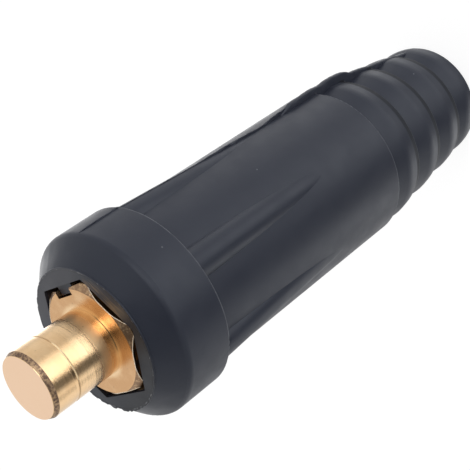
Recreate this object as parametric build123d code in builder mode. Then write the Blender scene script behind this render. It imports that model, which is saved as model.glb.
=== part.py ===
from build123d import *
import os
from math import atan2, cos, degrees, radians, sin

# Welding cable plug, bayonet type, for a 13 mm pin. Sizes are in millimetres.
# The plug stands on its cable end: Z runs up its axis, from the cable end to the tip of the pin.
# Directions round the axis are angles from +X towards +Y.

os.makedirs("parts", exist_ok=True)

# Brass contact
pin_radius = 6.5
pin_reach = 14.6
pin_tip_break = 0.42
pin_tip_chamfer = 1.0
scribe_from_tip = 5.6
scribe_width = 0.3
scribe_depth = 0.12
scribe_taper_length = 0.6
scribe_taper = 0.04
body_across_flats = 20.5
body_length = 46.0
body_corner_radius = 11.35
bevel_start_radius = 10.35
rear_bevel = 0.8
contact_angle = -11.0
notch_width = 4.6
notch_depth = 1.35
notch_length = 5.2
lug_angle = contact_angle + 120.0
lug_from_tip = 5.7
lug_length = 4.6
lug_width = 4.8
lug_height = 1.8
lug_chamfer = 0.7
lock_groove_from_front = 8.5
lock_groove_width = 2.4
lock_groove_depth = 1.0

# Socket for the strands, and its clamp screws
socket_radius = 5.25
socket_depth = 33.0
socket_entry_chamfer = 0.6
drill_point_angle = 59.0
screw_angle = contact_angle + 180.0
screw_radius = 4.0
screw_running_gap = 0.05
screw_recess = 0.15
screw_chamfer = 0.4
screw_key_size = 4.0
screw_key_depth = 2.4
screw_from_rear = {"clamp_screw_rear": 10.5, "clamp_screw_front": 22.0}

# Rubber sleeve, outside
collar_radius = 18.25
collar_length = 9.9
shoulder_round = 1.6
nose_length = 4.5
lip_radius = 14.1
lip_break = 0.35
contact_proud_of_lip = 0.45
grip_front_radius = 16.2
grip_back_radius = 15.95
grip_length = 54.2
edge_round = 0.25

# Tapered finger ribs on the grip
finger_rib_count = 6
finger_rib_angle = 31.5
finger_rib_length = 35.5
finger_rib_round = 3.2
finger_rib_height = 1.85
finger_rib_hidden_end = 2.0

# Barb-like rings of the tail, in steps that are cut back to suit the cable
ring_count = 4
ring_pitch = 9.1
last_ring_length = 7.5
ring_crest_radius = 15.5
ring_taper = 1.0
ring_rise = 1.0
ring_drop = 0.85
ring_crest_from_edge = 4.2
ring_crest_round = 4.4
ring_heel_from_edge = 1.7
ring_heel_drop = 0.35
tail_end_round = 1.1

# Rubber sleeve, inside
mouth_clearance = 0.65
mouth_floor_clearance = 0.2
mouth_depth = 4.5
mouth_corner_round = 0.5
seat_clearance = 0.1
key_clearance = 0.2
key_tip_clearance = 0.2
key_below_lip = 0.4
rib_clearance = 0.15
cable_bore_radius = 8.5
cable_entry_radius = 7.5
cable_entry_length = 6.0

# Heights and radii that follow
tail_length = (ring_count - 1) * ring_pitch + last_ring_length
collar_bottom = tail_length + grip_length
shoulder_height = collar_bottom + collar_length
sleeve_length = shoulder_height + nose_length
body_front = sleeve_length + contact_proud_of_lip
body_rear = body_front - body_length
tip_height = body_front + pin_reach
flat_radius = body_across_flats / 2
bevel_length = body_corner_radius - bevel_start_radius
lock_groove_height = body_front - lock_groove_from_front
rib_width = lock_groove_width - 2 * rib_clearance
rib_bottom = lock_groove_height - rib_width / 2
rib_top = lock_groove_height + rib_width / 2
mouth_bottom = sleeve_length - mouth_depth
corner_turn = contact_angle + 30.0
reach_past = 1.0


def on_ray(angle, radius, height):
    """A point at a radius from the axis, in a direction round it."""
    return (radius * cos(radians(angle)), radius * sin(radians(angle)), height)


def ray_plane(angle, radius, height):
    """A plane square to a ray from the axis, facing outwards."""
    return Plane(origin=on_ray(angle, radius, height), z_dir=on_ray(angle, 1, 0))


# The sleeve is turned from one outline: rings, grip, collar, shoulder and nose.
# Each ring rises in a ramp to its crest, falls slowly to its heel, and then faster to its sharp back edge.
outline = [(0, 0)]
corner_rounds = []
for ring in reversed(range(ring_count)):
    top = tail_length - ring * ring_pitch
    bottom = max(top - ring_pitch, 0)
    crest = ring_crest_radius - ring * ring_taper
    share = (top - bottom) / ring_pitch
    is_last = ring == ring_count - 1
    outline += [
        (crest - ring_drop, bottom),
        (crest - ring_heel_drop, bottom + ring_heel_from_edge * share),
        (crest, bottom + ring_crest_from_edge * share),
        (crest - ring_rise, top),
    ]
    back_edge_round = tail_end_round if is_last else edge_round
    corner_rounds += [back_edge_round, ring_crest_round, ring_crest_round, 0]
outline += [
    (grip_back_radius, tail_length),
    (grip_front_radius, collar_bottom),
    (collar_radius, collar_bottom),
    (collar_radius, shoulder_height),
    (lip_radius, sleeve_length - lip_break),
    (lip_radius - lip_break, sleeve_length),
    (0, sleeve_length),
]
corner_rounds += [edge_round, 0, edge_round, shoulder_round, 0, 0]

with BuildPart() as rubber_sleeve:
    with BuildSketch(Plane.XZ):
        with BuildLine():
            FilletPolyline(*outline, radius=corner_rounds)
            Line(outline[-1], outline[0])
        make_face()
    revolve(axis=Axis.Z)

    # Each finger rib is a round bar sunk in the grip. It leans outwards, from flush at its tip to its
    # full height at the collar, and both its ends are hidden.
    grip_slope = (grip_front_radius - grip_back_radius) / grip_length
    finger_rib_slope = grip_slope + finger_rib_height / finger_rib_length
    finger_rib_start = collar_bottom - finger_rib_length - finger_rib_hidden_end
    full_radius = grip_front_radius + finger_rib_height
    start_radius = full_radius - finger_rib_slope * (finger_rib_length + finger_rib_hidden_end)
    for number in range(finger_rib_count):
        angle = finger_rib_angle + number * 360 / finger_rib_count
        start_plane = Plane(
            origin=on_ray(angle, start_radius - finger_rib_round, finger_rib_start),
            z_dir=on_ray(angle, finger_rib_slope, 1),
        )
        with BuildSketch(start_plane):
            Circle(finger_rib_round)
        extrude(amount=finger_rib_length + 2 * finger_rib_hidden_end)

    # The cable's bore narrows to a snug entry at the tail.
    with BuildSketch(Plane.XZ):
        with BuildLine():
            Polyline(
                (0, 0),
                (cable_entry_radius, 0),
                (cable_entry_radius, cable_entry_length),
                (cable_bore_radius, tail_length),
                (cable_bore_radius, body_rear),
                (0, body_rear),
                close=True,
            )
        make_face()
    revolve(axis=Axis.Z, mode=Mode.SUBTRACT)

    # The hexagonal seat holds the contact, on both sides of the locking rib.
    for seat_bottom, seat_top in ((body_rear, rib_bottom), (rib_top, sleeve_length)):
        with BuildSketch(Plane.XY.offset(seat_bottom)):
            RegularPolygon(
                flat_radius + seat_clearance, 6, major_radius=False, rotation=corner_turn
            )
        extrude(amount=seat_top - seat_bottom, mode=Mode.SUBTRACT)
    with BuildSketch(Plane.XY.offset(rib_bottom)):
        Circle(flat_radius - lock_groove_depth + rib_clearance)
    extrude(amount=rib_width, mode=Mode.SUBTRACT)

    # The mouth is a wider hexagon that narrows with depth. Its key stands in the contact's notch.
    mouth_draft = degrees(atan2(mouth_clearance - mouth_floor_clearance, mouth_depth))
    with BuildSketch(Plane.XY.offset(sleeve_length)) as mouth:
        RegularPolygon(
            flat_radius + mouth_clearance, 6, major_radius=False, rotation=corner_turn
        )
        fillet(mouth.vertices(), radius=mouth_corner_round)
    extrude(amount=-mouth_depth, taper=mouth_draft, mode=Mode.SUBTRACT)
    key_tip_radius = flat_radius - notch_depth + key_tip_clearance
    key_root_radius = flat_radius + mouth_clearance + reach_past
    with BuildSketch(Plane.XY.offset(mouth_bottom)):
        with PolarLocations((key_tip_radius + key_root_radius) / 2, 1, start_angle=contact_angle):
            Rectangle(key_root_radius - key_tip_radius, notch_width - 2 * key_clearance)
    extrude(amount=mouth_depth - key_below_lip)

rubber_sleeve.part.label = "rubber_sleeve"
export_step(rubber_sleeve.part, "parts/rubber_sleeve.step")

# The contact is a hexagonal bar, turned down to the pin. The bevel cuts each flat to a curved edge.
# The front stretch of the pin, which fits the socket's bore, runs down to the scribed line in a slight taper.
scribe_height = tip_height - scribe_from_tip
scribe_front = scribe_height + scribe_width / 2
turned_profile = [
    (0, body_rear),
    (body_corner_radius - rear_bevel, body_rear),
    (body_corner_radius, body_rear + rear_bevel),
    (body_corner_radius, body_front - bevel_length),
    (bevel_start_radius, body_front),
    (pin_radius, body_front),
    (pin_radius, scribe_height - scribe_width / 2),
    (pin_radius - scribe_depth, scribe_height),
    (pin_radius - scribe_taper, scribe_front),
    (pin_radius, scribe_front + scribe_taper_length),
    (pin_radius, tip_height - pin_tip_chamfer),
    (pin_radius - pin_tip_break, tip_height),
    (0, tip_height),
]

with BuildPart() as brass_contact:
    with BuildSketch(Plane.XY.offset(body_rear)):
        RegularPolygon(flat_radius, 6, major_radius=False, rotation=corner_turn)
    extrude(amount=tip_height - body_rear)
    with BuildSketch(Plane.XZ):
        with BuildLine():
            Polyline(*turned_profile, close=True)
        make_face()
    revolve(axis=Axis.Z, mode=Mode.INTERSECT)

    # The locking lug of the bayonet, left standing on the pin behind the scribed line.
    lug_top_radius = pin_radius + lug_height
    with BuildSketch(Plane.XY.offset(tip_height - lug_from_tip - lug_length)):
        Circle(lug_top_radius)
        with PolarLocations(lug_top_radius / 2, 1, start_angle=lug_angle):
            Rectangle(lug_top_radius, lug_width, mode=Mode.INTERSECT)
    extrude(amount=lug_length)
    lug_outer_face = brass_contact.faces(Select.LAST).sort_by(
        lambda face: (face.center() - Vector(0, 0, face.center().Z)).length
    )[-1]
    chamfer(lug_outer_face.edges().filter_by(GeomType.CIRCLE), length=lug_chamfer)

    # Turned groove for the sleeve's locking rib.
    with BuildSketch(Plane.XY.offset(lock_groove_height - lock_groove_width / 2)):
        Circle(body_corner_radius + reach_past)
        Circle(flat_radius - lock_groove_depth, mode=Mode.SUBTRACT)
    extrude(amount=lock_groove_width, mode=Mode.SUBTRACT)

    # Notch across one flat, for the sleeve's key.
    notch_floor_radius = flat_radius - notch_depth
    notch_outer_radius = body_corner_radius + reach_past
    with BuildSketch(Plane.XY.offset(body_front)):
        with PolarLocations((notch_floor_radius + notch_outer_radius) / 2, 1, start_angle=contact_angle):
            Rectangle(notch_outer_radius - notch_floor_radius, notch_width)
    extrude(amount=-notch_length, mode=Mode.SUBTRACT)

    # Blind socket for the strands, with a chamfered entry and a drill point.
    drill_point = socket_radius / sin(radians(drill_point_angle)) * cos(radians(drill_point_angle))
    with BuildSketch(Plane.XZ):
        with BuildLine():
            Polyline(
                (0, body_rear),
                (socket_radius + socket_entry_chamfer, body_rear),
                (socket_radius, body_rear + socket_entry_chamfer),
                (socket_radius, body_rear + socket_depth),
                (0, body_rear + socket_depth + drill_point),
                close=True,
            )
        make_face()
    revolve(axis=Axis.Z, mode=Mode.SUBTRACT)

    # Tapped cross holes for the clamp screws.
    for from_rear in screw_from_rear.values():
        with BuildSketch(ray_plane(screw_angle, 0, body_rear + from_rear)):
            Circle(screw_radius)
        extrude(amount=body_corner_radius + reach_past, mode=Mode.SUBTRACT)

brass_contact.part.label = "brass_contact"
export_step(brass_contact.part, "parts/brass_contact.step")

# Set screws, backed out until they clear the socket, with their hex sockets outwards.
screw_inner_radius = socket_radius + screw_running_gap
screw_outer_radius = flat_radius - screw_recess
for screw_name, from_rear in screw_from_rear.items():
    with BuildPart() as clamp_screw:
        with BuildSketch(ray_plane(screw_angle, screw_inner_radius, body_rear + from_rear)):
            Circle(screw_radius - screw_running_gap)
        extrude(amount=screw_outer_radius - screw_inner_radius)
        chamfer(clamp_screw.edges().filter_by(GeomType.CIRCLE), length=screw_chamfer)
        with BuildSketch(ray_plane(screw_angle, screw_outer_radius, body_rear + from_rear)):
            RegularPolygon(screw_key_size / 2, 6, major_radius=False)
        extrude(amount=-screw_key_depth, mode=Mode.SUBTRACT)
    clamp_screw.part.label = screw_name
    export_step(clamp_screw.part, f"parts/{screw_name}.step")
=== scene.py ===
import math
import random
from collections import namedtuple

import bmesh
import bpy
from mathutils import Matrix, Vector


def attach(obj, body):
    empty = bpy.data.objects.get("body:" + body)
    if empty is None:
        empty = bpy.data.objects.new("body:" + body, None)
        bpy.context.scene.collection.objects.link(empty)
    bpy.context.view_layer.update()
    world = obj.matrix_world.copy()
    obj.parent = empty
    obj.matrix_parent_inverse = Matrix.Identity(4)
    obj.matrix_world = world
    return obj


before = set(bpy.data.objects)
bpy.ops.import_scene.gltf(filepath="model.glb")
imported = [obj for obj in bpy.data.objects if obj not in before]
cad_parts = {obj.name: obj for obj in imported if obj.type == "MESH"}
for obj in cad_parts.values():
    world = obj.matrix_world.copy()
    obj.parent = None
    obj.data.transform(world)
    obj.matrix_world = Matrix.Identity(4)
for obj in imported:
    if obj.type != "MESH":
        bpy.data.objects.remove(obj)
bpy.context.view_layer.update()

MM = 0.001

# The sleeve and the pin, in metres. Heights go up from the end where the cable enters.
TAIL_TOP = 34.8 * MM
GRIP_TOP = 89.0 * MM
LIP_HEIGHT = 103.4 * MM
BODY_FRONT = 103.85 * MM
TIP_HEIGHT = 118.45 * MM
COLLAR_RADIUS = 18.25 * MM
GRIP_END_RADIUS = 15.95 * MM
LIP_RADIUS = 14.1 * MM
PIN_RADIUS = 6.5 * MM
TIP_CHAMFER_RADIUS = 6.09 * MM
TIP_CHAMFER_HEIGHT = 1.0 * MM
SCRIBE_FROM_TIP = 5.6 * MM
# The lip was trimmed along a circle a little inside its edge.
CUT_RADIUS = 13.72 * MM

# The tail's rings. Each ends in a sharp back edge towards the cable, and they grow towards the grip.
# The back edge of the last ring is the tail's end, so there are three more.
RING_BACKS = 3
RING_PITCH = 9.1 * MM
RING_GROWTH = 1.0 * MM
LOWEST_RING_BACK = 7.5 * MM
LOWEST_RING_RADIUS = 12.65 * MM
# The sleeve's sharp outer edges, as (radius, height): the collar's, the grip's and the backs of the rings
SHARP_EDGES = [(COLLAR_RADIUS, GRIP_TOP), (GRIP_END_RADIUS, TAIL_TOP)]
for ring in range(RING_BACKS):
    SHARP_EDGES.append((LOWEST_RING_RADIUS + ring * RING_GROWTH, LOWEST_RING_BACK + ring * RING_PITCH))

# The contact's hexagonal body. Its bevel is a cone: radius plus height is the same all over it.
BODY_FLAT_RADIUS = 10.25 * MM
BODY_CORNER_RADIUS = 11.35 * MM
BEVEL_START_RADIUS = 10.35 * MM
BEVEL_SUM = BODY_FRONT + BEVEL_START_RADIUS
# Its flats, by turn. The first has the key notch, and the rim is rubbed beside the second.
FIRST_FLAT_TURN = -79.0
FLAT_TURNS = [FIRST_FLAT_TURN + 60.0 * number for number in range(6)]
RUBBED_FLAT_TURN = FLAT_TURNS[1]


# Camera: the photograph looks down on the pin, with the plug's tail away from it.

CAMERA_PLACE = Vector((0.0, -0.1852, 0.2058))
CAMERA_RIGHT = Vector((-0.5872, -0.4873, -0.6464))
CAMERA_UP = Vector((0.8095, -0.3554, -0.4674))
CAMERA_LENS = 94.2
CAMERA_SENSOR = 36.0
NEAREST_SEEN = 0.005
FARTHEST_SEEN = 20.0


def place_camera():
    bpy.ops.object.camera_add(location=CAMERA_PLACE)
    camera = bpy.context.object
    camera.name = "photo_camera"
    back = CAMERA_RIGHT.cross(CAMERA_UP).normalized()
    up = back.cross(CAMERA_RIGHT).normalized()
    camera.rotation_euler = Matrix((CAMERA_RIGHT.normalized(), up, back)).transposed().to_euler()
    camera.data.lens = CAMERA_LENS
    camera.data.sensor_width = CAMERA_SENSOR
    camera.data.clip_start = NEAREST_SEEN
    camera.data.clip_end = FARTHEST_SEEN
    bpy.context.scene.camera = camera
    bpy.context.scene.view_settings.view_transform = "Standard"


# Helpers for places, selection and nodes

def towards(turn, rise=0.0):
    """A direction: turn degrees round the plug from the camera towards -X, rise degrees above level."""
    level = math.cos(math.radians(rise))
    return Vector((
        -math.sin(math.radians(turn)) * level,
        -math.cos(math.radians(turn)) * level,
        math.sin(math.radians(rise)),
    ))


def flat(place):
    """A place or direction with its height taken out."""
    return Vector((place.x, place.y, 0.0))


def between(points, at):
    """Straight-line reading of a list of (place, value) points."""
    for (low, low_value), (high, high_value) in zip(points, points[1:]):
        if at <= high:
            share = max(0.0, (at - low) / (high - low))
            return low_value + (high_value - low_value) * share
    return points[-1][1]


def deselect_all():
    bpy.ops.object.select_all(action="DESELECT")


def make_active(piece):
    """Selects one piece alone."""
    deselect_all()
    piece.select_set(True)
    bpy.context.view_layer.objects.active = piece


class Nodes:
    """Adds and links nodes in one tree, from left to right."""

    COLUMN_WIDTH = 180
    ROW_HEIGHT = 220
    ROWS = 3

    def __init__(self, tree):
        self.tree = tree
        self.count = 0

    def add(self, kind, inputs=None, **settings):
        node = self.tree.nodes.new(kind)
        node.location = (self.count * self.COLUMN_WIDTH, -(self.count % self.ROWS) * self.ROW_HEIGHT)
        self.count += 1
        for key, value in settings.items():
            setattr(node, key, value)
        for key, value in (inputs or {}).items():
            self.feed(node.inputs[key], value)
        return node

    def feed(self, socket, value):
        """Links another node's output to a socket, or sets a fixed value on it."""
        if isinstance(value, bpy.types.NodeSocket):
            self.tree.links.new(value, socket)
        else:
            socket.default_value = value

    def object_position(self):
        return self.add("ShaderNodeTexCoord").outputs["Object"]

    def math(self, operation, a, b=0.0):
        return self.add("ShaderNodeMath", {0: a, 1: b}, operation=operation).outputs[0]

    def times(self, value, *others):
        """The product of several values."""
        for other in others:
            value = self.math("MULTIPLY", value, other)
        return value

    def ramp(self, value, low, high, out_low=0.0, out_high=1.0, smooth=True):
        """out_low up to low, out_high from high on, and a smooth or a straight climb between them."""
        inputs = {"Value": value, "From Min": low, "From Max": high, "To Min": out_low, "To Max": out_high}
        kind = "SMOOTHSTEP" if smooth else "LINEAR"
        return self.add("ShaderNodeMapRange", inputs, interpolation_type=kind).outputs["Result"]

    def band(self, value, centre, half_width, soft):
        """1 where the value is within half_width of the centre, falling to 0 over the soft distance."""
        away = self.math("ABSOLUTE", self.math("SUBTRACT", value, centre))
        return self.ramp(away, half_width, half_width + soft, out_low=1.0, out_high=0.0)

    def noise(self, vector, scale, detail=3.0, roughness=0.5):
        inputs = {"Vector": vector, "Scale": scale, "Detail": detail, "Roughness": roughness}
        return self.add("ShaderNodeTexNoise", inputs).outputs["Fac"]

    def combine(self, x, y=0.0):
        return self.add("ShaderNodeCombineXYZ", {"X": x, "Y": y}).outputs[0]

    def stretched(self, vector, scale):
        """The vector with each axis scaled by itself."""
        node = self.add("ShaderNodeVectorMath", {0: vector, 1: scale}, operation="MULTIPLY")
        return node.outputs["Vector"]

    def dot(self, vector, fixed):
        node = self.add("ShaderNodeVectorMath", {0: vector, 1: fixed}, operation="DOT_PRODUCT")
        return node.outputs["Value"]

    def mix_color(self, factor, a, b):
        """Colour a, or b where the factor is 1. Inputs 6 and 7 and output 2 are the node's colours."""
        return self.add("ShaderNodeMix", {0: factor, 6: a, 7: b}, data_type="RGBA").outputs[2]

    def bump(self, height, strength, distance, **below):
        """A bump, over the Normal of another one where that is given."""
        inputs = {"Height": height, "Strength": strength, "Distance": distance, **below}
        return self.add("ShaderNodeBump", inputs).outputs["Normal"]

    def finish(self, shader):
        self.add("ShaderNodeOutputMaterial", {"Surface": shader})


def new_material(name):
    material = bpy.data.materials.new(name)
    material.use_nodes = True
    material.node_tree.nodes.clear()
    return material, Nodes(material.node_tree)


def new_group(name, outputs, **values):
    """A shader group that reads a Position and some values, and puts out the numbers named."""
    tree = bpy.data.node_groups.new(name, "ShaderNodeTree")
    tree.interface.new_socket("Position", in_out="INPUT", socket_type="NodeSocketVector")
    for label, default in values.items():
        socket = tree.interface.new_socket(label, in_out="INPUT", socket_type="NodeSocketFloat")
        socket.default_value = default
    for label in outputs:
        tree.interface.new_socket(label, in_out="OUTPUT", socket_type="NodeSocketFloat")
    nodes = Nodes(tree)
    return tree, nodes, nodes.add("NodeGroupInput").outputs


def use_group(nodes, tree, **inputs):
    return nodes.add("ShaderNodeGroup", inputs, node_tree=tree).outputs


# Studio: a white floor, and a room with bright walls, a dark gap between them and a dark corner.

WHITE = (1.0, 1.0, 1.0, 1.0)
# The walls' light by turn round the plug, in degrees, under the horizon and over it
WALLS_BELOW = [
    (-180.0, 1.3),
    (-160.0, 2.5),
    (-146.0, 1.4),
    (-125.0, 0.70),
    (-106.0, 0.88),
    (-90.0, 0.80),
    (-60.0, 0.74),
    (-46.0, 0.68),
    (-38.0, 1.1),
    (-26.0, 1.5),
    (-10.0, 1.75),
    (20.0, 1.9),
    (25.5, 1.6),
    (28.5, 0.35),
    (55.0, 0.33),
    (61.0, 0.72),
    (74.0, 1.0),
    (90.0, 1.0),
    (112.0, 1.02),
    (145.0, 0.8),
    (165.0, 0.95),
    (180.0, 1.3),
]
WALLS_ABOVE = [(-180.0, 0.95), (-90.0, 0.85), (-35.0, 0.8), (0.0, 0.62), (90.0, 0.75), (180.0, 0.95)]
# The two meet softly at the horizon, between these values of a direction's Z.
HORIZON = (-0.12, 0.12)
# Soft cards that darken or brighten the walls. Each has the turn and rise of its middle, the angles from
# there to where it is full and to where it ends, all in degrees, and what it multiplies the light by.
CARDS = {
    "dark_corner": (35.0, 61.0, 18.0, 44.0, 0.16),
    "glow_on_foot": (-19.0, 27.0, 11.0, 22.0, 4.8),
    "gap_above": (14.0, 28.0, 11.0, 19.0, 0.3),
    "gap_low": (46.0, -45.0, 12.0, 26.0, 0.2),
    "shade_under_ramps": (85.0, -13.0, 5.0, 15.0, 0.35),
    "glow_on_crests": (88.0, -60.0, 10.0, 20.0, 2.5),
    "glow_low_left": (-88.0, -59.0, 10.0, 22.0, 2.2),
    "glow_low_front": (-12.0, -46.0, 8.0, 18.0, 1.1),
    "dark_underneath": (0.0, -90.0, 18.0, 34.0, 0.15),
}

FLOOR_SIZE = 6.0
FLOOR_DROP = 0.1 * MM
FLOOR_COLOR = (0.9, 0.9, 0.9, 1.0)
# The share of the floor that takes the object's shadow, and the glow of the rest. The two make white.
FLOOR_SHADOW = 0.24
FLOOR_GLOW = 1.16


def grey(level):
    return (level, level, level, 1.0)


def wall_light(n, turn, levels):
    """The walls' light by turn, as a colour ramp. Its two ends are the same wall."""
    node = n.add("ShaderNodeValToRGB", {"Fac": n.ramp(turn, -180.0, 180.0, smooth=False)})
    stops = node.color_ramp.elements
    stops[0].position = 0.0
    stops[1].position = 1.0
    stops[0].color = grey(levels[0][1])
    stops[1].color = grey(levels[-1][1])
    for angle, level in levels[1:-1]:
        stops.new((angle + 180.0) / 360.0).color = grey(level)
    return node.outputs["Color"]


def split_by_camera(n, for_rest, for_camera):
    """One shader for what the camera sees, and another for light and mirroring."""
    to_camera = n.add("ShaderNodeLightPath").outputs["Is Camera Ray"]
    inputs = {0: to_camera, 1: for_rest.outputs[0], 2: for_camera.outputs[0]}
    return n.add("ShaderNodeMixShader", inputs).outputs[0]


def make_world():
    world = bpy.data.worlds.new("studio")
    bpy.context.scene.world = world
    world.use_nodes = True
    world.node_tree.nodes.clear()
    n = Nodes(world.node_tree)
    direction = n.add("ShaderNodeTexCoord").outputs["Generated"]
    parts = n.add("ShaderNodeSeparateXYZ", {"Vector": direction})
    sideways = n.times(parts.outputs["X"], -1.0)
    to_front = n.times(parts.outputs["Y"], -1.0)
    turn = n.times(n.math("ARCTAN2", sideways, to_front), 180.0 / math.pi)
    above = n.ramp(parts.outputs["Z"], *HORIZON)
    walls = n.mix_color(above, wall_light(n, turn, WALLS_BELOW), wall_light(n, turn, WALLS_ABOVE))
    strength = 1.0
    for card_turn, card_rise, full, end, level in CARDS.values():
        facing = n.dot(direction, towards(card_turn, card_rise))
        card = n.ramp(facing, math.cos(math.radians(end)), math.cos(math.radians(full)), 1.0, level)
        strength = n.times(strength, card)
    studio_light = n.add("ShaderNodeBackground", {"Color": walls, "Strength": strength})
    white = n.add("ShaderNodeBackground", {"Color": WHITE, "Strength": 1.0})
    n.add("ShaderNodeOutputWorld", {"Surface": split_by_camera(n, studio_light, white)})


def make_floor():
    """A white floor that keeps a soft shadow. The studio's walls go on below it, because the object was lit
    all round on a white table, so only the camera sees the floor, and metal and rubber mirror the walls."""
    deselect_all()
    bpy.ops.mesh.primitive_plane_add(size=FLOOR_SIZE, location=(0.0, 0.0, -FLOOR_DROP))
    floor = bpy.context.object
    floor.name = "studio_floor"
    material, n = new_material("white_table")
    glow = n.add("ShaderNodeEmission", {"Color": WHITE, "Strength": FLOOR_GLOW})
    lit = n.add("ShaderNodeBsdfDiffuse", {"Color": FLOOR_COLOR})
    seen = n.add("ShaderNodeMixShader", {0: FLOOR_SHADOW, 1: glow.outputs[0], 2: lit.outputs[0]})
    clear = n.add("ShaderNodeBsdfTransparent")
    n.finish(split_by_camera(n, clear, seen))
    floor.data.materials.append(material)


# Surface effects that more than one material uses

def make_fine_grain():
    """Two sizes of grain in one height, for a moulded or cut surface."""
    tree, n, given = new_group("fine_grain", ["Height"], Coarse=600.0, Fine=4000.0, Share=0.5)
    coarse = n.noise(given["Position"], given["Coarse"], detail=2.0)
    fine = n.noise(given["Position"], given["Fine"], detail=2.0)
    height = n.add("ShaderNodeMix", {0: given["Share"], 2: coarse, 3: fine}, data_type="FLOAT")
    n.add("NodeGroupOutput", {"Height": height.outputs[0]})
    return tree


def make_specks():
    """Sparse specks of a given size, 1 inside a speck and 0 elsewhere."""
    tree, n, given = new_group("specks", ["Mask"], Scale=900.0, Size=0.2, Share=0.2)
    cells = n.add("ShaderNodeTexVoronoi", {"Vector": given["Position"], "Scale": given["Scale"]})
    near = n.math("LESS_THAN", cells.outputs["Distance"], given["Size"])
    cell_draw = n.add("ShaderNodeSeparateColor", {0: cells.outputs["Color"]}).outputs[0]
    chosen = n.math("LESS_THAN", cell_draw, given["Share"])
    n.add("NodeGroupOutput", {"Mask": n.times(near, chosen)})
    return tree


def make_place():
    """Where a point is on the plug: its radius from the axis and its height."""
    tree, n, given = new_group("place_on_plug", ["Radius", "Height"])
    parts = n.add("ShaderNodeSeparateXYZ", {"Vector": given["Position"]}).outputs
    radius = n.add("ShaderNodeVectorMath", {0: n.combine(parts["X"], parts["Y"])}, operation="LENGTH")
    n.add("NodeGroupOutput", {"Radius": radius.outputs["Value"], "Height": parts["Z"]})
    return tree


Place = namedtuple("Place", "position radius height")


def find_place(n, place_on_plug):
    """A point's place, as the masks below take it."""
    position = n.object_position()
    place = use_group(n, place_on_plug, Position=position)
    return Place(position, place["Radius"], place["Height"])


def paint_marks(n, color, marks, masks):
    """The colour with each mark over it in turn, as strongly as its mask and its cover say."""
    for name, (mark_color, cover) in marks.items():
        color = n.mix_color(n.times(masks[name], cover), color, mark_color)
    return color


# Rubber: moulded, semi-matt, dark blue-grey

RUBBER_COLORS = ((0.0155, 0.018, 0.029, 1.0), (0.0235, 0.0265, 0.039, 1.0))
RUBBER_ROUGHNESS = (0.39, 0.47)
RUBBER_SHEEN = 0.37
RUBBER_SHEEN_TINT = (0.88, 0.93, 1.0, 1.0)
# The marks on it, as (colour, cover), in the order in which they lie on each other
RUBBER_MARKS = {
    "dust": ((0.22, 0.23, 0.25, 1.0), 0.35),
    # painted highlight along the sharp edges
    "edge_highlights": ((0.25, 0.26, 0.28, 1.0), 0.25),
    # painted shade on the rings' heels
    "heel_shade": ((0.005, 0.006, 0.009, 1.0), 0.8),
    "mouth_stain": ((0.16, 0.105, 0.055, 1.0), 1.0),
    "rubbed_rim": ((0.13, 0.085, 0.05, 1.0), 1.0),
    # painted shade along the line the lip was cut along
    "cut_line_shade": ((0.005, 0.006, 0.009, 1.0), 0.8),
    # painted light on one side of the lip and painted shade on the other
    "lit_side": ((0.09, 0.09, 0.1, 1.0), 0.5),
    "shaded_side": ((0.004, 0.004, 0.006, 1.0), 0.75),
    # broken painted highlight just outside the cut line
    "broken_highlight": ((0.24, 0.25, 0.27, 1.0), 0.5),
}
# The painted highlight along a sharp edge: how far above the edge its middle is, and its half height and
# half width
EDGE_HIGHLIGHT_RISE = 0.12 * MM
EDGE_HIGHLIGHT_HALF_HEIGHT = 0.1 * MM
EDGE_HIGHLIGHT_HALF_WIDTH = 0.2 * MM
EDGE_HIGHLIGHT_SOFT = 0.12 * MM
# The painted shade on a ring's heel: how far above the ring's back edge its middle is, and its half height
HEEL_RISE = 0.85 * MM
HEEL_HALF_HEIGHT = 0.45 * MM
HEEL_SOFT = 0.6 * MM
HEEL_ROUGHNESS = 0.2
# The painted shade ends at these heights. It stays inside a cone that widens as the rings do, so that none
# lies on the mould flash.
HEELS_END = (33.5 * MM, 32.5 * MM)
HEEL_CONE_RADIUS = 12.3 * MM
HEEL_CONE_SOFT = 0.3 * MM
# The mouth's walls: inside these radii, above these heights, and under these distances from the lip
MOUTH_RADII = (12.6 * MM, 11.6 * MM)
MOUTH_FLOOR = (97.0 * MM, 99.5 * MM)
MOUTH_UNDER_LIP = (0.5 * MM, 0.7 * MM)
STAIN_STREAKS = (900.0, 900.0, 120.0)
# The rubbed rim beside a flat: its depth under the lip's top, its reach outwards from the axis, and its
# middle and half length along the flat
RUBBED_DEPTH = (0.1 * MM, 0.04 * MM)
RUBBED_START = (10.0 * MM, 10.8 * MM)
RUBBED_END = (13.1 * MM, 12.3 * MM)
RUBBED_MIDDLE = -1.0 * MM
RUBBED_HALF_LENGTH = 3.0 * MM
RUBBED_SOFT = 2.5 * MM
RUBBED_STREAKS = (3200.0, 260.0)
# The marks on the lip's face start and are full at these depths under its top.
LIP_FACE_DEPTH = (0.08 * MM, 0.03 * MM)
# Painted shade along the line that the lip was cut along, and a broken painted highlight just outside it:
# half width and softness
CUT_SHADE_LINE = (0.06 * MM, 0.05 * MM)
CUT_HIGHLIGHT_LINE = (0.07 * MM, 0.06 * MM)
CUT_HIGHLIGHT_OFFSET = 0.18 * MM
# Painted light on one side of the lip and painted shade on the other: turn, and where each starts and is
# full
LIT_SIDE_TURN = -105.0
LIT_SIDE_REACH = (4.0 * MM, 13.0 * MM)
DARK_TURN = 60.0
DARK_REACH = (3.0 * MM, 12.0 * MM)


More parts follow.
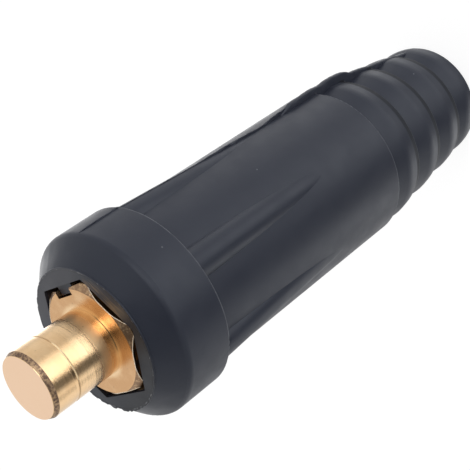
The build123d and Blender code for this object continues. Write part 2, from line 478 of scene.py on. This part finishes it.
def edge_highlights(n, at):
    """Painted highlights: thin pale lines just above the sleeve's sharp edges, broken into patches."""
    edges = 0.0
    for radius, height in SHARP_EDGES:
        middle = height + EDGE_HIGHLIGHT_RISE
        at_height = n.band(at.height, middle, EDGE_HIGHLIGHT_HALF_HEIGHT, EDGE_HIGHLIGHT_SOFT)
        at_radius = n.band(at.radius, radius, EDGE_HIGHLIGHT_HALF_WIDTH, EDGE_HIGHLIGHT_SOFT)
        edges = n.math("MAXIMUM", edges, n.times(at_height, at_radius))
    patches = n.ramp(n.noise(at.position, scale=700.0), 0.3, 0.6, out_low=0.35)
    return n.times(edges, patches)


def ring_heels(n, at):
    """The heel of each ring, just above its back edge, which gets painted shade and more roughness."""
    above_back = n.math("ADD", at.height, RING_PITCH - LOWEST_RING_BACK)
    above_back = n.math("MODULO", above_back, RING_PITCH)
    cone_radius = n.math("SUBTRACT", at.radius, n.times(at.height, RING_GROWTH / RING_PITCH))
    return n.times(
        n.band(above_back, HEEL_RISE, HEEL_HALF_HEIGHT, HEEL_SOFT),
        n.ramp(at.height, *HEELS_END),
        n.ramp(cone_radius, HEEL_CONE_RADIUS + HEEL_CONE_SOFT, HEEL_CONE_RADIUS),
    )


def mouth_stain(n, at):
    """Brown streaks of brass dust and oil on the walls of the mouth."""
    under_lip, stain_top = MOUTH_UNDER_LIP
    walls = n.times(
        n.ramp(at.radius, *MOUTH_RADII),
        n.ramp(at.height, *MOUTH_FLOOR),
        n.ramp(at.height, LIP_HEIGHT - under_lip, LIP_HEIGHT - stain_top),
    )
    streaks = n.noise(n.stretched(at.position, STAIN_STREAKS), scale=1.0)
    return n.times(walls, n.ramp(streaks, 0.42, 0.62, out_low=0.25))


def rubbed_rim(n, at):
    """The rim beside one flat, rubbed brown in streaks along the flat."""
    out_from_flat = n.dot(at.position, towards(RUBBED_FLAT_TURN))
    along_flat = n.dot(at.position, towards(RUBBED_FLAT_TURN + 90.0))
    start, full = RUBBED_DEPTH
    rubbed = n.times(
        n.ramp(at.height, LIP_HEIGHT - start, LIP_HEIGHT - full),
        n.ramp(out_from_flat, *RUBBED_END),
        n.band(along_flat, RUBBED_MIDDLE, RUBBED_HALF_LENGTH, RUBBED_SOFT),
        n.ramp(out_from_flat, *RUBBED_START),
    )
    across, along = RUBBED_STREAKS
    stretched = n.combine(n.times(out_from_flat, across), n.times(along_flat, along))
    streaks = n.noise(stretched, scale=1.0, detail=2.0)
    return n.times(rubbed, n.ramp(streaks, 0.42, 0.6))


def lip_marks(n, at):
    """On the lip's face: painted shade along the line it was cut along, a broken painted highlight outside
    it, and a side with painted light and one with painted shade.
    """
    start, full = LIP_FACE_DEPTH
    on_lip = n.ramp(at.height, LIP_HEIGHT - start, LIP_HEIGHT - full)
    broken_highlight = n.ramp(n.noise(at.position, scale=1100.0, detail=2.0), 0.5, 0.66)
    beside_cut = n.band(at.radius, CUT_RADIUS + CUT_HIGHLIGHT_OFFSET, *CUT_HIGHLIGHT_LINE)
    return {
        "cut_line_shade": n.times(on_lip, n.band(at.radius, CUT_RADIUS, *CUT_SHADE_LINE)),
        "lit_side": n.times(on_lip, n.ramp(n.dot(at.position, towards(LIT_SIDE_TURN)), *LIT_SIDE_REACH)),
        "shaded_side": n.times(on_lip, n.ramp(n.dot(at.position, towards(DARK_TURN)), *DARK_REACH)),
        "broken_highlight": n.times(on_lip, beside_cut, broken_highlight),
    }


def make_rubber(fine_grain, specks, place_on_plug):
    """Dark blue-grey moulded rubber, semi-matt, with dust flecks and stains, painted highlights on sharp
    edges and the lip, and painted shade on ring heels and the lip.
    """
    material, n = new_material("moulded_rubber")
    at = find_place(n, place_on_plug)
    heels = ring_heels(n, at)
    masks = {
        "dust": use_group(n, specks, Position=at.position, Scale=520.0, Size=0.085, Share=0.03)["Mask"],
        "edge_highlights": edge_highlights(n, at),
        "heel_shade": heels,
        "mouth_stain": mouth_stain(n, at),
        "rubbed_rim": rubbed_rim(n, at),
        **lip_marks(n, at),
    }
    cloud = n.noise(at.position, scale=90.0, detail=4.0, roughness=0.6)
    color = paint_marks(n, n.mix_color(cloud, *RUBBER_COLORS), RUBBER_MARKS, masks)
    roughness = n.ramp(n.noise(at.position, scale=260.0), 0.3, 0.7, *RUBBER_ROUGHNESS)
    roughness = n.math("ADD", roughness, n.times(heels, HEEL_ROUGHNESS))
    grain = use_group(n, fine_grain, Position=at.position, Coarse=900.0, Fine=4200.0, Share=0.5)
    shader = n.add("ShaderNodeBsdfPrincipled", {
        "Base Color": color,
        "Roughness": roughness,
        "Specular IOR Level": RUBBER_SHEEN,
        "Specular Tint": RUBBER_SHEEN_TINT,
        "Normal": n.bump(grain["Height"], strength=0.25, distance=0.06 * MM),
    })
    n.finish(shader.outputs[0])
    return material


# Brass: turned, with rings of the lathe tool

BRASS_COLORS = ((0.88, 0.62, 0.36, 1.0), (0.82, 0.55, 0.30, 1.0))
# The marks on it, as (colour, cover), in the order in which they lie on each other
BRASS_MARKS = {
    "tip_face": ((0.87, 0.60, 0.40, 1.0), 1.0),
    "front_face": ((0.62, 0.36, 0.17, 1.0), 1.0),
    "chamfer": ((0.16, 0.105, 0.08, 1.0), 1.0),
    "bevel": ((0.27, 0.165, 0.10, 1.0), 1.0),
    # painted shade in the scribed ring and the pin's foot corner
    "lines": ((0.12, 0.07, 0.035, 1.0), 1.0),
    # painted highlight on the scribed ring
    "ring_highlight": ((1.0, 0.8, 0.5, 1.0), 0.8),
    "pits": ((0.35, 0.22, 0.12, 1.0), 0.35),
}
# Roughness where the brass is smooth and where it was left rough, and what tarnish, dull places and the
# scribed ring's sides add
BRASS_ROUGHNESS = (0.09, 0.5)
TARNISH_ROUGHNESS = 0.06
DULL_ROUGHNESS = 0.24
SCRIBE_ROUGHNESS = 0.3
# Height of the grain on smooth and on rough places, and how rough the bevel is, with the chamfer as 1
BRASS_GRAIN = (0.07, 2.2)
BEVEL_ROUGH_SHARE = 0.6
# The painted highlight on the scribed ring is only partly metallic, so that it stays bright.
RING_HIGHLIGHT_METALLIC = 0.25
# The tip's chamfer: where it starts, as distances from its inner edge and from its lower edge
CHAMFER_INSIDE = (-0.01 * MM, 0.03 * MM)
CHAMFER_BELOW = (-0.02 * MM, 0.04 * MM)
# The bevel: half thickness and softness of the layer that holds it, and where it starts from its lower edge
BEVEL_LAYER = (0.04 * MM, 0.03 * MM)
BEVEL_BELOW = (-0.05 * MM, 0.1 * MM)
# Their speckle: the noise's low and high end, and how dark the surface is at each
CHAMFER_SPECKLE = (0.62, 0.95, 1.0, 0.45)
BEVEL_SPECKLE = (0.7, 1.0, 0.95, 0.25)
# The pin's marks end between these distances from its surface.
PIN_MARKS_END = (0.25 * MM, 0.12 * MM)
# Painted shade lines on the pin: half height and softness of the scribed ring and of the corner at the foot
SCRIBE_LINE = (0.1 * MM, 0.08 * MM)
FOOT_LINE = (0.06 * MM, 0.06 * MM)
SCRIBE_DARKNESS = 0.45
FOOT_DARKNESS = 0.55
# The scribed ring has a painted highlight up to the first distance sideways of the axis, on the camera's
# side and the far side, and painted shade past the second.
SCRIBE_HIGHLIGHT_REACH = (3.0 * MM, 4.4 * MM)
SCRIBE_SHADE = 0.7
# The foot's corner has painted shade, dark on the side that faces this turn, and fainter elsewhere.
FOOT_TURN = 2.0
FOOT_REACH = (5.3 * MM, 6.1 * MM)
FOOT_ELSEWHERE = 0.1
# The tip's face: depth under the tip, and distance inside the chamfer
TIP_FACE_DEPTH = (0.06 * MM, 0.02 * MM)
TIP_FACE_EDGE = (0.04 * MM, 0.09 * MM)
# The browner ring on the body's front face: half height and softness, and the radii where it starts
FRONT_FACE_LAYER = (0.05 * MM, 0.05 * MM)
FRONT_FACE_RADII = (6.7 * MM, 7.7 * MM)
# The dull stretch near the pin's foot: where it starts and ends above the body's front
DULL_START = (0.6 * MM, 2.0 * MM)
DULL_END = (4.9 * MM, 2.6 * MM)
LATHE_RING_SCALE = 21000.0
LATHE_RING_DEPTH = 0.013 * MM
LATHE_RING_WHERE_DULL = 0.2


def rough_cones(n, at):
    """The two places that were left rough: the tip's chamfer and the bevel at the body's corners."""
    from_inside = n.math("SUBTRACT", at.radius, TIP_CHAMFER_RADIUS)
    from_below = n.math("SUBTRACT", at.height, TIP_HEIGHT - TIP_CHAMFER_HEIGHT)
    chamfer = n.times(n.ramp(from_inside, *CHAMFER_INSIDE), n.ramp(from_below, *CHAMFER_BELOW))
    from_below = n.math("SUBTRACT", at.height, BEVEL_SUM - BODY_CORNER_RADIUS)
    bevel = n.times(
        n.band(n.math("ADD", at.radius, at.height), BEVEL_SUM, *BEVEL_LAYER),
        n.ramp(from_below, *BEVEL_BELOW),
    )
    return chamfer, bevel


def scribed_ring(n, at, on_pin):
    """The scribed ring in two masks: a painted highlight on the near and the far side, and painted shade
    between them.
    """
    ring = n.times(n.band(at.height, TIP_HEIGHT - SCRIBE_FROM_TIP, *SCRIBE_LINE), on_pin)
    sideways = n.math("ABSOLUTE", n.dot(at.position, towards(90.0)))
    near, far = SCRIBE_HIGHLIGHT_REACH
    lit_part = n.times(ring, n.ramp(sideways, far, near))
    shaded_part = n.times(ring, n.ramp(sideways, near, far, out_high=SCRIBE_SHADE))
    return lit_part, shaded_part


def foot_corner(n, at, on_pin):
    """Painted shade: the thin dark corner at the pin's foot."""
    facing = n.dot(at.position, towards(FOOT_TURN))
    return n.times(
        n.band(at.height, BODY_FRONT, *FOOT_LINE),
        on_pin,
        n.ramp(facing, *FOOT_REACH, out_low=FOOT_ELSEWHERE),
    )


def flat_faces(n, at, tarnish):
    """The tip's face, which is paler, and the body's front face away from the pin, which is browner."""
    start, full = TIP_FACE_DEPTH
    outer, inner = TIP_FACE_EDGE
    tip_face = n.times(
        n.ramp(at.height, TIP_HEIGHT - start, TIP_HEIGHT - full),
        n.ramp(at.radius, TIP_CHAMFER_RADIUS - outer, TIP_CHAMFER_RADIUS - inner),
    )
    front_face = n.times(
        n.band(at.height, BODY_FRONT, *FRONT_FACE_LAYER),
        n.ramp(at.radius, *FRONT_FACE_RADII),
        n.ramp(tarnish, 0.25, 0.6, out_low=0.6),
    )
    return tip_face, front_face


def dull_foot(n, at, on_pin):
    """Near its foot the pin is duller, so that the dark gap in the walls is only a soft shade there."""
    start_low, start_high = DULL_START
    end_high, end_low = DULL_END
    return n.times(
        n.ramp(at.height, BODY_FRONT + end_high, BODY_FRONT + end_low),
        on_pin,
        n.ramp(at.height, BODY_FRONT + start_low, BODY_FRONT + start_high),
    )


def lathe_rings(n, at, dull):
    """Fine rings of the lathe tool, as noise of radius plus height alone. They spread what the brass
    mirrors, and are weak where the pin is dull."""
    along = n.combine(n.math("ADD", at.radius, at.height))
    rings = n.noise(along, LATHE_RING_SCALE, detail=1.0, roughness=0.4)
    return n.times(rings, n.ramp(dull, 0.0, 1.0, out_low=1.0, out_high=LATHE_RING_WHERE_DULL))


def make_brass(fine_grain, specks, place_on_plug):
    """Turned brass: lathe rings, a rough speckled chamfer and bevel, painted shade where faces meet and
    along the scribed ring, and a painted highlight on the scribed ring.
    """
    material, n = new_material("turned_brass")
    at = find_place(n, place_on_plug)
    chamfer, bevel = rough_cones(n, at)
    fine = n.noise(at.position, scale=2600.0, detail=4.0, roughness=0.7)
    speckle = n.math("ADD", fine, n.times(n.noise(at.position, scale=900.0, detail=2.0), 0.5))
    tarnish = n.noise(at.position, scale=240.0, detail=4.0, roughness=0.6)
    none, full = PIN_MARKS_END
    on_pin = n.ramp(at.radius, PIN_RADIUS + none, PIN_RADIUS + full)
    ring_highlight, ring_shade = scribed_ring(n, at, on_pin)
    corner = foot_corner(n, at, on_pin)
    tip_face, front_face = flat_faces(n, at, tarnish)
    dark_ring = n.times(ring_shade, SCRIBE_DARKNESS)
    masks = {
        "tip_face": tip_face,
        "front_face": front_face,
        "chamfer": n.times(chamfer, n.ramp(speckle, *CHAMFER_SPECKLE)),
        "bevel": n.times(bevel, n.ramp(speckle, *BEVEL_SPECKLE)),
        "lines": n.math("MAXIMUM", dark_ring, n.times(corner, FOOT_DARKNESS)),
        "ring_highlight": ring_highlight,
        "pits": use_group(n, specks, Position=at.position, Scale=700.0, Size=0.13, Share=0.06)["Mask"],
    }
    color = n.mix_color(n.ramp(tarnish, 0.35, 0.7), *BRASS_COLORS)
    color = paint_marks(n, color, BRASS_MARKS, masks)

    dull = dull_foot(n, at, on_pin)
    rough_places = n.math("MAXIMUM", chamfer, n.times(bevel, BEVEL_ROUGH_SHARE))
    roughness = n.ramp(rough_places, 0.0, 1.0, *BRASS_ROUGHNESS)
    roughness = n.math("ADD", roughness, n.ramp(tarnish, 0.3, 0.8, out_high=TARNISH_ROUGHNESS))
    roughness = n.math("ADD", roughness, n.times(dull, DULL_ROUGHNESS))
    roughness = n.math("ADD", roughness, n.times(ring_shade, SCRIBE_ROUGHNESS))
    ring_bump = n.bump(lathe_rings(n, at, dull), strength=1.0, distance=LATHE_RING_DEPTH)
    grain = use_group(n, fine_grain, Position=at.position, Coarse=1500.0, Fine=5200.0, Share=0.6)
    grain = n.times(grain["Height"], n.ramp(rough_places, 0.0, 1.0, *BRASS_GRAIN))
    shader = n.add("ShaderNodeBsdfPrincipled", {
        "Base Color": color,
        "Roughness": roughness,
        "Metallic": n.ramp(ring_highlight, 0.0, 1.0, out_low=1.0, out_high=RING_HIGHLIGHT_METALLIC),
        "Normal": n.bump(grain, strength=0.18, distance=0.05 * MM, Normal=ring_bump),
    })
    n.finish(shader.outputs[0])
    return material


# Steel of the set screws, and torn metal of the burrs with a painted highlight

STEEL_COLORS = ((0.58, 0.58, 0.60, 1.0), (0.44, 0.44, 0.45, 1.0))
STEEL_ROUGHNESS = (0.26, 0.4)
# The burrs' pale colour and low metallic paint a highlight on them.
BURR_COLORS = ((0.96, 0.86, 0.72, 1.0), (0.9, 0.72, 0.5, 1.0))
BURR_METALLIC = 0.35
BURR_ROUGHNESS = 0.35


def make_steel(fine_grain):
    """Zinc-plated steel of the set screws."""
    material, n = new_material("screw_steel")
    position = n.object_position()
    dull = n.noise(position, scale=500.0)
    grain = use_group(n, fine_grain, Position=position, Coarse=1200.0, Fine=5000.0, Share=0.5)["Height"]
    shader = n.add("ShaderNodeBsdfPrincipled", {
        "Base Color": n.mix_color(n.ramp(dull, 0.35, 0.7), *STEEL_COLORS),
        "Roughness": n.ramp(dull, 0.3, 0.7, *STEEL_ROUGHNESS),
        "Metallic": 1.0,
        "Normal": n.bump(grain, strength=0.15, distance=0.05 * MM),
    })
    n.finish(shader.outputs[0])
    return material


def make_burr_highlight(fine_grain):
    """Torn metal of the burrs with a painted highlight: a pale, half-matt colour that looks bright from
    every side.
    """
    material, n = new_material("burr_painted_highlight")
    position = n.object_position()
    grain = use_group(n, fine_grain, Position=position, Coarse=2500.0, Fine=9000.0, Share=0.5)["Height"]
    shader = n.add("ShaderNodeBsdfPrincipled", {
        "Base Color": n.mix_color(n.ramp(grain, 0.4, 0.6), *BURR_COLORS),
        "Metallic": BURR_METALLIC,
        "Roughness": BURR_ROUGHNESS,
        "Normal": n.bump(grain, strength=0.3, distance=0.03 * MM),
    })
    n.finish(shader.outputs[0])
    return material


def dress_node(node_name, material):
    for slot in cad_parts[node_name].material_slots:
        slot.material = material


# Work on a piece in edit mode, and its finish

SMOOTH_ANGLE = 50.0


def choose_vertices(piece, wanted):
    """Selects the vertices in edit mode whose places pass the test."""
    mesh = bmesh.from_edit_mesh(piece.data)
    for vertex in mesh.verts:
        vertex.select = wanted(vertex.co)
    mesh.select_flush(True)
    bmesh.update_edit_mesh(piece.data)


def move_selected(step):
    bpy.ops.transform.translate(value=step)


def add_wall(piece, thickness, rounding_width, rounding_segments):
    """Gives a flat piece its thickness, half to each side, and rounds its edges."""
    wall = piece.modifiers.new("thickness", "SOLIDIFY")
    wall.thickness = thickness
    wall.offset = 0.0
    rounding = piece.modifiers.new("rounding", "BEVEL")
    rounding.width = rounding_width
    rounding.segments = rounding_segments
    rounding.limit_method = "ANGLE"
    for modifier in list(piece.modifiers):
        bpy.ops.object.modifier_apply(modifier=modifier.name)


def turn_into_place(piece, turn):
    """Turns a piece that was made facing +X to its place round the axis, and applies the turn."""
    outwards = towards(turn)
    piece.rotation_euler = (0.0, 0.0, math.atan2(outwards.y, outwards.x))
    bpy.ops.object.transform_apply(location=True, rotation=True, scale=True)


# Mould flash: a thin ragged fin along each parting line of the sleeve, and a thicker ridge on the tail

FLASH_TURNS = {"flash_front": -61.5, "flash_back": 118.5}
# How deep in the rubber it starts, and how far apart its stations are
FLASH_ROOT = 0.7 * MM
FLASH_STEP = 0.9 * MM
FLASH_LEAST_PROUD = 0.03 * MM
FLASH_RAGGED = 0.09
FLASH_JITTER = 0.04 * MM
FLASH_JITTER_SEED = 3
FLASH_SEGMENTS = 3
MERGE_DISTANCE = 0.001 * MM
# A fin is drawn from a plane that reaches this far from its middle, in metres.
PLANE_REACH = 0.5
# The thin fin: how far it stands out of the rubber by height, both in millimetres
FIN = {
    "points": [
        (42.5, 0.9), (46.9, 0.75), (51.0, 0.35), (57.5, 0.5), (61.7, 0.4), (67.0, 0.3), (70.0, 0.12),
        (88.9, 0.1), (89.1, 0.2), (97.0, 0.2), (98.6, 0.03),
    ],
    "from_surface": True,
    "thickness": 0.3 * MM,
    "rounding_width": 0.08 * MM,
}
# From the tail to the grip the flash is a thicker ridge with a rounded top: radius of its top by height
RIDGE = {
    "points": [
        (0.6, 11.3), (2.5, 11.8), (4.8, 12.5), (7.7, 12.9), (10.7, 13.6), (12.9, 13.9), (14.9, 14.2),
        (17.0, 14.5), (18.6, 14.9), (20.8, 15.3), (23.5, 15.7), (24.6, 16.4), (25.8, 16.75), (28.4, 17.05),
        (31.0, 17.15), (33.0, 16.95), (35.5, 17.25), (38.0, 17.2), (42.0, 17.2), (44.0, 16.7), (46.0, 16.1),
    ],
    "from_surface": False,
    "thickness": 1.1 * MM,
    "rounding_width": 0.45 * MM,
}


def sleeve_radius(turn, height):
    """The sleeve's outer radius in a direction, found by looking in at it from outside."""
    outwards = towards(turn)
    start = outwards * (2.0 * COLLAR_RADIUS) + Vector((0.0, 0.0, height))
    _, place, _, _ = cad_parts["rubber_sleeve"].ray_cast(start, -outwards)
    return flat(place).length


def flash_stations(turn, points, from_surface, draws):
    """The stations of a fin up the sleeve, as (height, radius of the root, radius of the top)."""
    lowest, highest = points[0][0] * MM, points[-1][0] * MM
    count = round((highest - lowest) / FLASH_STEP)
    stations = []
    for number in range(count + 1):
        height = lowest + (highest - lowest) * number / count
        surface = sleeve_radius(turn, height)
        top = between(points, height / MM) * MM
        if from_surface:
            proud = top * (1.0 + draws.uniform(-FLASH_RAGGED, FLASH_RAGGED))
        else:
            proud = top - surface
        stations.append((height, surface - FLASH_ROOT, surface + max(proud, FLASH_LEAST_PROUD)))
    return stations


def draw_fin(piece, stations):
    """Cuts a new plane down to one edge, and extrudes that up the stations, in a plane with the axis."""
    height, root, top = stations[0]
    choose_vertices(piece, lambda co: co.y > 0.0)
    bpy.ops.mesh.delete(type="VERT")
    choose_vertices(piece, lambda co: co.x < 0.0)
    move_selected((root + PLANE_REACH, PLANE_REACH, height))
    choose_vertices(piece, lambda co: co.x > PLANE_REACH / 2.0)
    move_selected((top - PLANE_REACH, PLANE_REACH, height))
    bpy.ops.mesh.select_all(action="SELECT")
    for (last_height, last_root, last_top), (height, root, top) in zip(stations, stations[1:]):
        rise = height - last_height
        bpy.ops.mesh.extrude_edges_move(TRANSFORM_OT_translate={"value": (0.0, 0.0, rise)})
        above = height - rise / 2.0
        choose_vertices(piece, lambda co: co.z > above and co.x < (last_root + last_top) / 2.0)
        move_selected((root - last_root, 0.0, 0.0))
        choose_vertices(piece, lambda co: co.z > above and co.x > (root + last_top) / 2.0)
        move_selected((top - last_top, 0.0, 0.0))
        choose_vertices(piece, lambda co: co.z > above)


def make_flash(name, turn, draws, points, from_surface, thickness, rounding_width):
    """One fin or ridge, made facing +X and then turned to its parting line. The points give its top by
    height, either above the sleeve's surface or from the axis."""
    stations = flash_stations(turn, points, from_surface, draws)
    deselect_all()
    bpy.ops.mesh.primitive_plane_add(size=2.0 * PLANE_REACH, location=(0.0, 0.0, 0.0))
    piece = bpy.context.object
    piece.name = name
    bpy.ops.object.mode_set(mode="EDIT")
    bpy.ops.mesh.select_mode(type="VERT")
    draw_fin(piece, stations)
    bpy.ops.mesh.select_all(action="SELECT")
    bpy.ops.mesh.subdivide(number_cuts=1)
    bpy.ops.mesh.remove_doubles(threshold=MERGE_DISTANCE)
    bpy.ops.mesh.normals_make_consistent(inside=False)
    bpy.ops.object.mode_set(mode="OBJECT")
    add_wall(piece, thickness, rounding_width, FLASH_SEGMENTS)
    bpy.ops.object.mode_set(mode="EDIT")
    bpy.ops.mesh.select_all(action="SELECT")
    bpy.ops.transform.vertex_random(
        offset=FLASH_JITTER, uniform=0.8, normal=0.0, seed=FLASH_JITTER_SEED
    )
    bpy.ops.mesh.normals_make_consistent(inside=False)
    bpy.ops.object.mode_set(mode="OBJECT")
    turn_into_place(piece, turn)
    bpy.ops.object.shade_smooth_by_angle(angle=math.radians(SMOOTH_ANGLE))
    return piece


# Lip flash: a thin trimmed fringe round the sleeve's front edge, wider where it was trimmed badly

LIP_FLASH_POINTS = 240
LIP_FLASH_THICKNESS = 0.3 * MM
LIP_FLASH_ROUNDING = 0.06 * MM
LIP_FLASH_SEGMENTS = 2
LIP_FLASH_UNDER_LIP = 0.01 * MM
# How far the fringe reaches past the lip, as (turn, millimetres)
LIP_FLASH_WIDTHS = [
    (-180.0, 0.12), (-140.0, 0.08), (-60.0, 0.04), (70.0, 0.04), (92.0, 0.12), (112.0, 0.3), (140.0, 0.22),
    (180.0, 0.12),
]
LIP_FLASH_LEAST_SHARE = 0.1
# The width wanders from point to point: how much of the last wander stays, and how much is drawn anew
LIP_FLASH_WANDER = (0.7, 0.35)


def make_lip_flash(draws):
    """The fringe, drawn as two rings of points whose outer one is pushed out unevenly."""
    deselect_all()
    height = LIP_HEIGHT - LIP_FLASH_THICKNESS / 2.0 - LIP_FLASH_UNDER_LIP
    bpy.ops.mesh.primitive_circle_add(
        vertices=LIP_FLASH_POINTS, radius=CUT_RADIUS, fill_type="NOTHING", location=(0.0, 0.0, height)
    )
    piece = bpy.context.object
    piece.name = "lip_flash"
    bpy.ops.object.transform_apply(location=True, rotation=False, scale=False)
    bpy.ops.object.mode_set(mode="EDIT")
    bpy.ops.mesh.select_mode(type="VERT")
    bpy.ops.mesh.select_all(action="SELECT")
    bpy.ops.mesh.extrude_edges_move(TRANSFORM_OT_translate={"value": (0.0, 0.0, 0.0)})
    grown = LIP_RADIUS / CUT_RADIUS
    bpy.ops.transform.resize(value=(grown, grown, 1.0), center_override=(0.0, 0.0, height))

    # Each point of the outer edge is pushed out by its own width.
    between_edges = (CUT_RADIUS + LIP_RADIUS) / 2.0
    half_step = math.cos(math.radians(180.0 / LIP_FLASH_POINTS))
    kept, drawn = LIP_FLASH_WANDER
    wander = 0.0
    for number in range(LIP_FLASH_POINTS):
        turn = -180.0 + (number + 0.5) * 360.0 / LIP_FLASH_POINTS
        outwards = towards(turn)
        wander = kept * wander + drawn * draws.uniform(-1.0, 1.0)
        width = between(LIP_FLASH_WIDTHS, turn) * MM * max(LIP_FLASH_LEAST_SHARE, 1.0 + wander)
        choose_vertices(
            piece,
            lambda co: flat(co).length > between_edges and flat(co).normalized().dot(outwards) > half_step,
        )
        move_selected(outwards * width)
    bpy.ops.mesh.select_all(action="SELECT")
    bpy.ops.mesh.normals_make_consistent(inside=False)
    bpy.ops.object.mode_set(mode="OBJECT")
    add_wall(piece, LIP_FLASH_THICKNESS, LIP_FLASH_ROUNDING, LIP_FLASH_SEGMENTS)
    bpy.ops.object.shade_smooth_by_angle(angle=math.radians(SMOOTH_ANGLE))
    return piece


# Burrs: a thin wire of metal with a painted highlight along the front edge of each flat, left by the
# bevelling tool

BURR_RADIUS = 0.075 * MM
BURR_SIDES = 8
BURR_STEPS = 16
BURR_FROM_CORNER = 0.1 * MM
BURR_SMOOTH_ANGLE = 60.0


def flat_edge_height(sideways):
    """The height of a flat's front edge, which the bevel lowers towards the corners."""
    radius = math.hypot(BODY_FLAT_RADIUS, sideways)
    return BODY_FRONT - max(0.0, radius - BEVEL_START_RADIUS)


def make_burr():
    """One burr, drawn as a small ring that is extruded along the edge of a flat that faces +X."""
    reach = math.sqrt(BODY_CORNER_RADIUS ** 2 - BODY_FLAT_RADIUS ** 2) - BURR_FROM_CORNER
    places = [-reach + 2.0 * reach * number / BURR_STEPS for number in range(BURR_STEPS + 1)]
    deselect_all()
    bpy.ops.mesh.primitive_circle_add(
        vertices=BURR_SIDES,
        radius=BURR_RADIUS,
        fill_type="NGON",
        rotation=(math.radians(90.0), 0.0, 0.0),
        location=(BODY_FLAT_RADIUS, places[0], flat_edge_height(places[0])),
    )
    piece = bpy.context.object
    bpy.ops.object.transform_apply(location=True, rotation=True, scale=True)
    bpy.ops.object.mode_set(mode="EDIT")
    bpy.ops.mesh.select_all(action="SELECT")
    for start, end in zip(places, places[1:]):
        rise = flat_edge_height(end) - flat_edge_height(start)
        bpy.ops.mesh.extrude_region_move(TRANSFORM_OT_translate={"value": (0.0, end - start, rise)})
    bpy.ops.mesh.select_all(action="SELECT")
    bpy.ops.mesh.normals_make_consistent(inside=False)
    bpy.ops.object.mode_set(mode="OBJECT")
    bpy.ops.object.shade_smooth_by_angle(angle=math.radians(BURR_SMOOTH_ANGLE))
    return piece


def make_burrs():
    """A burr on each flat but the one with the key notch, each a copy with its own mesh."""
    turns = FLAT_TURNS[1:]
    burrs = [make_burr()]
    for _ in turns[1:]:
        make_active(burrs[0])
        bpy.ops.object.duplicate(linked=False)
        burrs.append(bpy.context.object)
    for number, (burr, turn) in enumerate(zip(burrs, turns), start=1):
        burr.name = f"flat_burr_{number}"
        make_active(burr)
        turn_into_place(burr, turn)
    return burrs


# The build

DRAW_SEED = 11

deselect_all()
place_camera()
make_world()
make_floor()

fine_grain = make_fine_grain()
specks = make_specks()
place_on_plug = make_place()
rubber = make_rubber(fine_grain, specks, place_on_plug)
steel = make_steel(fine_grain)
dress_node("rubber_sleeve", rubber)
dress_node("brass_contact", make_brass(fine_grain, specks, place_on_plug))
dress_node("clamp_screw_rear", steel)
dress_node("clamp_screw_front", steel)

draws = random.Random(DRAW_SEED)
rubber_pieces = [make_lip_flash(draws)]
for name, turn in FLASH_TURNS.items():
    rubber_pieces.append(make_flash(name, turn, draws, **FIN))
    rubber_pieces.append(make_flash(f"{name}_ridge", turn, draws, **RIDGE))
for piece in rubber_pieces:
    piece.data.materials.append(rubber)
    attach(piece, "plug")
burr_highlight = make_burr_highlight(fine_grain)
for burr in make_burrs():
    burr.data.materials.append(burr_highlight)
    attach(burr, "plug")
